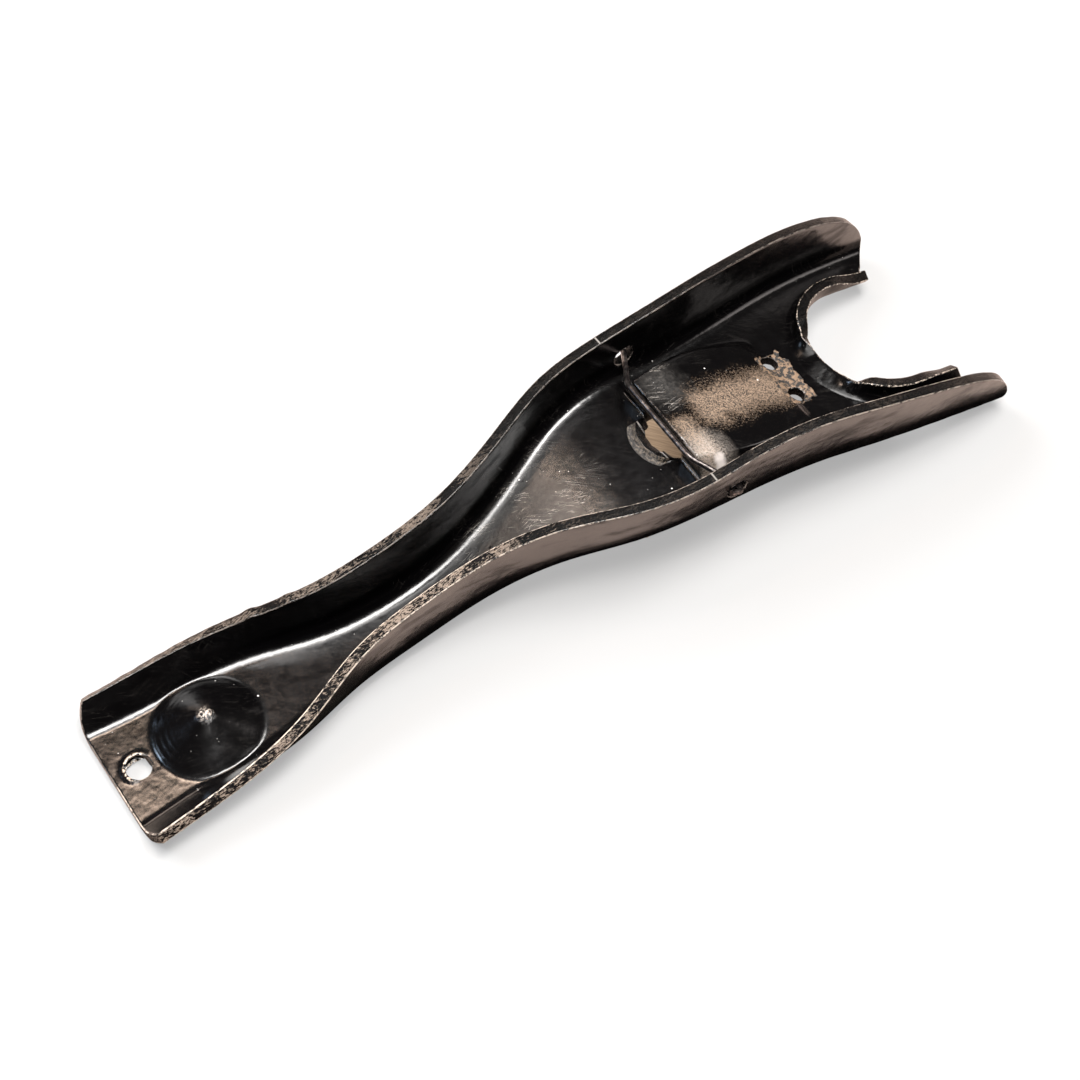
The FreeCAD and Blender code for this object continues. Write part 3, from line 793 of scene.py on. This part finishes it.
# ---------------------------------------------------------------- gloss black paint
def seat_stain(t, where, px, open_side, grain):
    """Thin tan stipple on the seat, in two parts, from its mouth to the rivet holes."""
    near_part = t.use(SOFT_BOX, Position=where, Place=0.0465, Across=-0.0118, Half_length=0.0010,
                      Half_width=0.0075, Edge=0.0075, Wander=0.005, Grain=130.0)
    mid_part = t.use(SOFT_BOX, Position=where, Place=0.0700, Across=-0.0015, Half_length=0.013,
                     Half_width=0.0030, Edge=0.011, Wander=0.008, Grain=130.0)
    stain = t.times(t.most(near_part, mid_part), open_side, t.ramp(px, SEAT_FROM, SEAT_FROM + 0.0008))
    stipple = t.plus(t.times(stain, 1.05), t.times(t.minus(grain, 0.5), 1.5))
    return t.times(t.ramp(stipple, 0.30, 1.15), t.ramp(stain, 0.0, 0.45))


def painted_highlight(t, where, px, open_side, grain):
    """A painted highlight at the seat's near corner: a pale spot of light and the painted haze of light about
    it.
    """
    painted_spot = t.use(SOFT_BOX, Position=where, Place=0.0492, Across=-0.0198, Half_length=0.0006,
                 Half_width=0.0004, Edge=0.0016, Wander=0.002, Grain=400.0)
    painted_halo = t.use(SOFT_BOX, Position=where, Place=0.0465, Across=-0.0170, Half_length=0.0012,
                 Half_width=0.0025, Edge=0.0085, Wander=0.004, Grain=260.0)
    painted_halo = t.times(painted_halo, open_side, t.ramp(grain, 0.30, 0.70, 0.15, 0.65),
                   t.ramp(px, SEAT_FROM, SEAT_FROM + 0.0010))
    return t.times(painted_spot, open_side), painted_halo


def worn_floor_and_sheen(t, where, upward):
    """Dull haze on the floor before the opening and on the seat's far corner: worn, rougher paint, and its
    grey partly a painted sheen of light.
    """
    pan = t.use(SOFT_BOX, Position=where, Place=-0.008, Across=-0.003, Half_length=0.009,
                Half_width=0.009, Edge=0.020, Wander=0.012, Grain=90.0)
    far_seat = t.use(SOFT_BOX, Position=where, Place=0.0500, Across=0.0120, Half_length=0.002,
                     Half_width=0.003, Edge=0.008, Wander=0.008, Grain=220.0)
    return t.most(t.times(pan, 0.6, upward), t.times(far_seat, upward))


def settled_dust(t, where, upward):
    """Large and fine specks where dust has settled."""
    large = t.use(SPECKS, Position=where, Scale=210.0, Size=0.075, Share=0.60)
    fine = t.use(SPECKS, Position=where, Scale=520.0, Size=0.10, Share=0.80)
    return t.times(t.most(large, t.times(fine, 0.6)), t.ramp(t.noise(where, 45.0, 3.0), 0.38, 0.56), upward)


def return_hole_teeth(t, where, px, py):
    """Bare, toothed edge on the far side of the return hole."""
    x = t.minus(px, along(RETURN_HOLE))
    ring = t.fade(t.size(t.minus(t.radius(x, py), 0.0042)), 0.0002, 0.0007)
    teeth = t.ramp(t.noise(where, 1300.0, 1.0), 0.42, 0.58)
    return t.times(ring, t.ramp(t.minus(py, x), -0.001, 0.002), teeth)


def opening_band(t, px, py, upright):
    """The worn lip about the opening and the dark line outside it.

    Both follow the opening's bow: inside = start + bow (|y| / half)^2.2 - x.
    """
    from_mid = t.times(t.size(py), 1 / (OPEN_BOW_HALF * MM))
    bow = t.times(t.math("POWER", from_mid, BOW_POWER), OPEN_BOW * MM)
    inside = t.minus(t.plus(bow, along(OPEN_START)), px)
    band = t.times(t.fade(inside, 0.0009, 0.0013), t.ramp(inside, -0.0030, -0.0026),
                   t.fade(from_mid, 1.02, 1.12), t.ramp(upright, 0.05, 0.30))
    line = t.times(t.fade(inside, 0.0016, 0.0024), t.ramp(inside, 0.0008, 0.0012),
                   t.fade(from_mid, 1.05, 1.14))
    return band, line


def paint_gloss(t, where, px, py, rise, outside):
    """How strongly the paint mirrors: less at the foot of the outer walls and in the mouth."""
    streaky = t.ramp(t.noise(t.turned(where, 0.0, (45.0, 45.0, 190.0)), 1.0, 3.0, 0.6), 0.36, 0.50, 0.35, 1.0)
    foot = t.ramp(t.plus(rise, t.times(t.noise(where, 60.0, 2.0), 0.12)), 0.46, 0.58, 0.04, 0.5)
    level = t.blend(outside, 0.5, t.times(foot, streaky))
    from_mouth = t.radius(t.minus(px, along(FORK_CENTRE)), py)
    throat = t.times(t.fade(from_mouth, 0.0265, 0.0300), t.fade(t.noise(where, 160.0, 2.0), 0.42, 0.56, 0.35))
    return t.blend(throat, level, 0.06)


def fork_paint():
    """Gloss black paint with the pressing's stains, crust, pits, scratches and dust, and painted light: a
    highlight spot and haze on the seat, a glint on the cone's tip and a sheen on the worn floor.
    """
    paint, t, shader, where = material("fork_paint")
    px, py, _pz = t.split(where)
    _nx, ny, nz = t.split(t.add("ShaderNodeNewGeometry").outputs["Normal"])
    upward = t.ramp(nz, 0.55, 0.9)
    open_side = t.ramp(nz, 0.02, 0.30)
    outside = t.fade(ny, -0.75, -0.35)
    grain = t.noise(where, 1500.0, 2.0, 0.8)
    lumps = t.noise(where, 620.0, 4.0, 0.7)
    tip_grain = t.noise(where, 1500.0, 3.0, 0.7)
    cone_x = t.minus(px, along(CONE["place"]))
    from_tip = t.radius(cone_x, py)

    worn = worn_floor_and_sheen(t, where, upward)
    tan = seat_stain(t, where, px, open_side, grain)
    painted_spot, painted_halo = painted_highlight(t, where, px, open_side, grain)
    band, band_line = opening_band(t, px, py, nz)
    crust_box = t.use(SOFT_BOX, Position=where, Place=0.0895, Across=-0.0005, Half_length=0.0042,
                      Half_width=0.0098, Edge=0.0012, Wander=0.0050, Grain=260.0)
    crust = t.ramp(t.times(crust_box, upward), 0.3, 0.7)
    pit_area = t.use(SOFT_BOX, Position=where, Place=-0.0350, Across=0.0020, Half_length=0.022,
                     Half_width=0.0080, Edge=0.004, Wander=0.002, Grain=200.0)
    pits = t.times(t.use(SPECKS, Position=where, Scale=260.0, Size=0.20, Share=0.72),
                   t.ramp(pit_area, 0.4, 0.6))

    # grey on the worn floor: dull worn paint and a painted sheen of light
    patchy = t.ramp(t.noise(where, 700.0, 4.0, 0.75), 0.35, 0.75, 0.15, 0.8)
    color = t.mix(t.times(worn, patchy), tone(0.0009, 0.0008, 0.0009), tone(0.042, 0.039, 0.036))
    scratch = t.times(t.use(SCRATCHES, Position=where, Amount=1.0), t.plus(t.times(worn, 1.3), 0.03))
    color = t.mix(scratch, color, tone(0.36, 0.33, 0.30))
    dark_grain = t.ramp(t.noise(where, 1900.0, 2.0, 0.9), 0.42, 0.56)
    color = t.mix(tan, color, t.mix(dark_grain, tone(0.020, 0.014, 0.010), tone(0.16, 0.112, 0.076)))
    # painted highlight: the pale haze and spot of light at the seat's near corner
    color = t.mix(painted_halo, color, tone(0.30, 0.265, 0.235))
    color = t.mix(painted_spot, color, tone(0.55, 0.50, 0.47))
    color = t.mix(crust, color, tone(0.010, 0.009, 0.008))
    color = t.mix(t.times(crust, t.ramp(lumps, 0.46, 0.53)), color, tone(0.15, 0.098, 0.062))
    rubbed = t.ramp(t.noise(where, 1400.0, 4.0, 0.75), 0.48, 0.55)
    color = t.mix(band, color, t.mix(rubbed, tone(0.010, 0.009, 0.008), tone(0.085, 0.069, 0.054)))
    color = t.mix(band_line, color, tone(0.001, 0.001, 0.001))
    # painted highlight: a sparkle of light at the cone's tip
    painted_glint = t.times(t.fade(from_tip, 0.0008, 0.0030), t.ramp(tip_grain, 0.50, 0.60))
    color = t.mix(painted_glint, color, tone(0.40, 0.34, 0.29))
    color = t.mix(pits, color, tone(0.001, 0.001, 0.001))
    color = t.mix(return_hole_teeth(t, where, px, py), color, tone(0.34, 0.27, 0.21))
    color = t.mix(settled_dust(t, where, upward), color, tone(0.62, 0.60, 0.57))
    t.put(shader.inputs["Base Color"], color)

    rough = t.ramp(t.noise(where, 260.0, 3.0), 0.3, 0.7, 0.17, 0.215)
    rough = t.blend(t.most(tan, band, crust), t.blend(worn, rough, 0.40), 0.65)
    t.put(shader.inputs["Roughness"], rough)
    rise = t.add("ShaderNodeAttribute", attribute_name="rise").outputs["Fac"]
    t.put(shader.inputs["Specular IOR Level"], paint_gloss(t, where, px, py, rise, outside))

    # orange peel, turned arcs on the cone, its rough tip, then stains, crust, pits and dents
    normal = t.bump(t.noise(where, 420.0, 1.0, 0.4), 0.16, 0.0004)
    arcs = t.math("SINE", t.times(from_tip, 3600.0))
    arc_ring = t.times(t.ramp(from_tip, 0.0095, 0.0120), t.fade(from_tip, 0.0155, 0.0170))
    far_side = t.ramp(t.minus(py, cone_x), 0.004, 0.016, 0.0, 0.4)
    normal = t.bump(t.times(arcs, arc_ring), far_side, 0.00005, normal)
    normal = t.bump(tip_grain, t.times(t.fade(from_tip, 0.0015, 0.0040), 0.8), 0.0004, normal)
    normal = t.bump(grain, t.times(t.most(tan, worn), 0.35), 0.0003, normal)
    normal = t.bump(lumps, t.times(t.most(crust, band), 0.9), 0.0009, normal)
    normal = t.bump(pits, 0.9, 0.0005, normal)
    dents = t.noise(t.turned(where, 0.0, (30.0, 30.0, 90.0)), 1.0, 2.0, 0.5)
    normal = t.bump(dents, t.times(outside, 0.20), 0.0014, normal)
    t.put(shader.inputs["Normal"], normal)
    return paint


# ---------------------------------------------------------------- sheared edges and the wire
def fork_edge():
    """Sheared edge: thin paint, bare and speckled on the outer half, with one scribed tick."""
    edge, t, shader, where = material("fork_edge")
    px, py, _pz = t.split(where)
    coarse = t.noise(t.turned(where, 0.0, (0.35, 1.0, 1.0)), 1900.0, 4.0, 0.75)
    patchy = t.noise(where, 120.0, 3.0, 0.6)
    bare = t.ramp(t.plus(t.times(coarse, 0.7), t.times(patchy, 0.4)), 0.555, 0.635)
    near = t.fade(py, -0.004, 0.0)
    bare = t.times(bare, t.times(t.fade(px, -0.045, 0.005, 0.06), t.blend(near, 0.30, 0.60)))
    color = t.mix(bare, tone(0.0012, 0.0011, 0.0011), tone(0.34, 0.27, 0.22))
    tick = t.ramp(t.size(t.minus(px, 0.0382)), 0.0001, 0.0004, 0.5, 0.0)
    t.put(shader.inputs["Base Color"], t.mix(tick, color, tone(0.30, 0.28, 0.26)))
    t.put(shader.inputs["Metallic"], t.times(bare, 0.7))
    t.put(shader.inputs["Roughness"], t.blend(bare, 0.24, 0.34))
    shader.inputs["Specular IOR Level"].default_value = 0.06
    t.put(shader.inputs["Normal"], t.bump(coarse, t.blend(bare, 0.5, 1.0), 0.0007))
    return edge


def fork_corner():
    """The line along the rounded corners of a sheared edge, broken: worn bare metal with a painted highlight,
    which is brighter on the near side and at the mouth.
    """
    corner, t, shader, where = material("fork_corner")
    px, py, _pz = t.split(where)
    at_mouth = t.times(t.ramp(px, 0.099, 0.104), t.fade(t.size(py), 0.0262, 0.0275))
    near = t.times(t.fade(py, -0.004, 0.0), t.fade(px, -0.05, 0.02, 0.30))
    bright = t.most(near, t.times(at_mouth, 0.9))
    gaps = t.noise(t.turned(where, 0.0, (0.6, 1.0, 1.0)), 330.0, 5.0, 0.8)
    broken = t.ramp(t.noise(where, 800.0, 2.0), 0.38, 0.5, 0.25, 1.0)
    speckled = t.ramp(t.noise(where, 1300.0, 2.0, 0.7), 0.50, 0.56)
    shown = t.times(t.ramp(t.plus(gaps, t.times(bright, 0.08)), 0.46, 0.54),
                    t.blend(at_mouth, broken, speckled))
    # painted highlight: the line is lighter on the near side and at the mouth
    bare_and_highlight = t.mix(bright, tone(0.085, 0.070, 0.060), tone(0.36, 0.30, 0.25))
    t.put(shader.inputs["Base Color"], t.mix(shown, tone(0.008, 0.007, 0.006), bare_and_highlight))
    t.put(shader.inputs["Roughness"], t.blend(shown, 0.25, 0.40))
    t.put(shader.inputs["Normal"], t.bump(gaps, 0.6, 0.0006))
    return corner


def spring_wire():
    """Dull drawn steel with brighter patches."""
    wire, t, shader, where = material("spring_wire")
    patches = t.ramp(t.noise(where, 500.0, 3.0), 0.4, 0.7)
    t.put(shader.inputs["Base Color"], t.mix(patches, tone(0.035, 0.030, 0.030), tone(0.16, 0.14, 0.13)))
    shader.inputs["Metallic"].default_value = 0.9
    shader.inputs["Roughness"].default_value = 0.30
    return wire


# ---------------------------------------------------------------- the part
fork = fork_sheet()
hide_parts("fork_pressing")
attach(fork, "root")
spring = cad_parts["retaining_spring"]
spring.data.materials.clear()
spring.data.materials.append(spring_wire())
for face in spring.data.polygons:
    face.use_smooth = True


# ---------------------------------------------------------------- camera
CAMERA_PLACE = (-201.93, -296.26, 574.43)
CAMERA_TURN, CAMERA_DROP = math.radians(33.9), math.radians(58.0)
CAMERA_LENS = 73.333

scene.view_settings.view_transform = "Standard"


def set_camera():
    """Camera at its place, level, turned about the vertical and looking down."""
    sin_turn, cos_turn = math.sin(CAMERA_TURN), math.cos(CAMERA_TURN)
    sin_drop, cos_drop = math.sin(CAMERA_DROP), math.cos(CAMERA_DROP)
    right = (cos_turn, -sin_turn, 0.0)
    up = (sin_drop * sin_turn, sin_drop * cos_turn, cos_drop)
    back = (-cos_drop * sin_turn, -cos_drop * cos_turn, sin_drop)
    data = bpy.data.cameras.new("camera")
    data.lens = CAMERA_LENS
    data.sensor_width = 36.0
    camera = bpy.data.objects.new("camera", data)
    scene.collection.objects.link(camera)
    turn = Matrix((right, up, back)).transposed().to_4x4()
    turn.translation = [c * MM for c in CAMERA_PLACE]
    camera.matrix_world = turn
    scene.camera = camera


set_camera()


# ---------------------------------------------------------------- floor, bench and shade
def stage_sheet(name, points, corners, height, finish):
    """A flat thing on the stage, not part of the model, at a height in metres."""
    mesh = bpy.data.meshes.new(name)
    mesh.from_pydata(points, [], corners)
    mesh.materials.append(finish)
    piece = bpy.data.objects.new(name, mesh)
    scene.collection.objects.link(piece)
    piece.location.z = height
    return piece


def rectangle(x0, y0, x1, y1):
    """Corners of an upright rectangle in plan."""
    return [(x0, y0, 0), (x1, y0, 0), (x1, y1, 0), (x0, y1, 0)]


def studio_floor():
    """Pale floor that fades to white, seen warm by the gloss and clear from below."""
    mat, t, shader, where = material("studio_floor")
    mat.node_tree.nodes.remove(shader)
    pale = t.add("ShaderNodeBsdfDiffuse")
    pale.inputs["Color"].default_value = tone(0.17, 0.17, 0.17)
    glow = t.add("ShaderNodeEmission")
    glow.inputs["Color"].default_value = tone(1.0, 1.0, 1.0)
    t.put(glow.inputs["Strength"], t.ramp(t.length(where), 0.30, 0.80, 0.40, 1.0))
    lit = t.add("ShaderNodeAddShader")
    t.put(lit.inputs[0], pale.outputs[0])
    t.put(lit.inputs[1], glow.outputs[0])
    warm = t.add("ShaderNodeBsdfDiffuse")
    warm.inputs["Color"].default_value = tone(0.62, 0.49, 0.43)
    seen = t.either(t.add("ShaderNodeLightPath").outputs["Is Glossy Ray"], lit.outputs[0], warm.outputs[0])
    seen = t.either(t.add("ShaderNodeNewGeometry").outputs["Backfacing"], seen,
                    t.add("ShaderNodeBsdfTransparent").outputs[0])
    t.put(mat.node_tree.nodes["Material Output"].inputs["Surface"], seen)
    return mat


def bench_card():
    """Tan, streaked bench that shows through the opening before the seat, with a faint glow that is painted
    light.
    """
    mat, t, shader, where = material("bench_card")
    streaks = t.noise(t.turned(where, 0.9, (120.0, 2200.0, 120.0)), 1.0, 2.0)
    t.put(shader.inputs["Base Color"], t.mix(t.ramp(streaks, 0.35, 0.65), tone(0.20, 0.138, 0.088),
                                             tone(0.32, 0.225, 0.148)))
    shader.inputs["Roughness"].default_value = 0.9
    # painted light: a faint warm glow on the card
    shader.inputs["Emission Color"].default_value = tone(0.55, 0.39, 0.26)
    shader.inputs["Emission Strength"].default_value = 0.16
    return mat


def wall_shade():
    """The dark that the lever throws beside its near wall."""
    mat, _t, shader, _where = material("wall_shade")
    shader.inputs["Base Color"].default_value = tone(0.010, 0.009, 0.008)
    shader.inputs["Specular IOR Level"].default_value = 0.0
    shader.inputs["Roughness"].default_value = 1.0
    return mat


def shade_strip():
    """Strip along the near wall: from 12 mm under it out to 0.52 (low + share (rim - low)).

    The share wanders with place, so the strip's edge does too, and it leans on by 0.35 of its reach.
    """
    s = np.linspace(-4.0, 306.0, 63)
    half, rim, low, _fold, _lean = section(np.clip(s, 0, LENGTH))
    share = 0.40 + 0.05 * np.sin(s / 9.0) + 0.04 * np.sin(s / 3.7)
    reach = 0.52 * (low + share * (rim - low))
    middle = LENGTH / 2
    inner = np.stack([(s - middle) * MM, -(half - 12) * MM, 0 * s], axis=1)
    outer = np.stack([(s - middle + 0.35 * reach) * MM, -(half + reach) * MM, 0 * s], axis=1)
    n = len(s)
    return np.concatenate([inner, outer]).tolist(), [(k, k + 1, n + k + 1, n + k) for k in range(n - 1)]


ONE_FACE = [(0, 1, 2, 3)]
FLOOR_HALF = 3.0
stage_sheet("studio_floor", rectangle(-FLOOR_HALF, -FLOOR_HALF, FLOOR_HALF, FLOOR_HALF), ONE_FACE,
            -0.0003, studio_floor())
stage_sheet("bench_card", rectangle(0.026, -0.016, 0.056, 0.020), ONE_FACE, -0.0001, bench_card())
# only the gloss of the near wall shows the shade
shade = stage_sheet("wall_shade", *shade_strip(), -0.00005, wall_shade())
shade.visible_camera = False
shade.visible_diffuse = False
shade.visible_shadow = False


# ---------------------------------------------------------------- light
def softbox(name, direction, distance, width, height, power, color):
    """Area light in a direction from the part, aimed at it."""
    data = bpy.data.lights.new(name, "AREA")
    data.shape = "RECTANGLE"
    data.size, data.size_y = width, height
    data.energy = power
    data.color = color
    lamp = bpy.data.objects.new(name, data)
    scene.collection.objects.link(lamp)
    towards = Vector(direction).normalized()
    lamp.location = Vector((0.0, 0.0, 0.01)) + towards * distance
    lamp.rotation_euler = towards.to_track_quat("Z", "Y").to_euler()
    return lamp


softbox("overhead", (0.05, -0.10, 0.99), 1.0, 0.85, 0.34, 30.0, (1.0, 0.98, 0.96))
softbox("overhead_edge", (0.10, 0.12, 0.98), 1.0, 0.60, 0.16, 3.2, (1.0, 0.95, 0.90))
softbox("warm_card", (-0.095, 0.365, 0.93), 1.0, 0.16, 0.09, 1.9, (1.0, 0.74, 0.57))
softbox("cone_streak", (-0.60, 0.44, 0.67), 1.0, 0.10, 0.22, 1.8, (0.62, 0.78, 1.0))
softbox("low_card", (0.10, 0.95, 0.22), 1.0, 0.7, 0.12, 2.2, (1.0, 0.82, 0.70))
softbox("tine_card", (0.75, -0.30, 0.45), 1.0, 0.3, 0.3, 1.5, (1.0, 0.92, 0.88))
side = softbox("side", (-0.30, 0.72, 0.62), 1.5, 1.0, 1.0, 46.0, (1.0, 1.0, 1.0))
side.visible_glossy = False


def studio_world():
    """White behind everything, but only a dim warm light on the part."""
    world = bpy.data.worlds.new("studio")
    world.use_nodes = True
    t = Tree(world.node_tree)
    white = world.node_tree.nodes["Background"]
    white.inputs["Color"].default_value = tone(1.0, 1.0, 1.0)
    white.inputs["Strength"].default_value = 1.0
    dim = t.add("ShaderNodeBackground")
    dim.inputs["Color"].default_value = tone(1.0, 0.90, 0.85)
    dim.inputs["Strength"].default_value = 0.045
    seen = t.either(t.add("ShaderNodeLightPath").outputs["Is Camera Ray"], dim.outputs[0], white.outputs[0])
    t.put(world.node_tree.nodes["World Output"].inputs["Surface"], seen)
    return world


scene.world = studio_world()
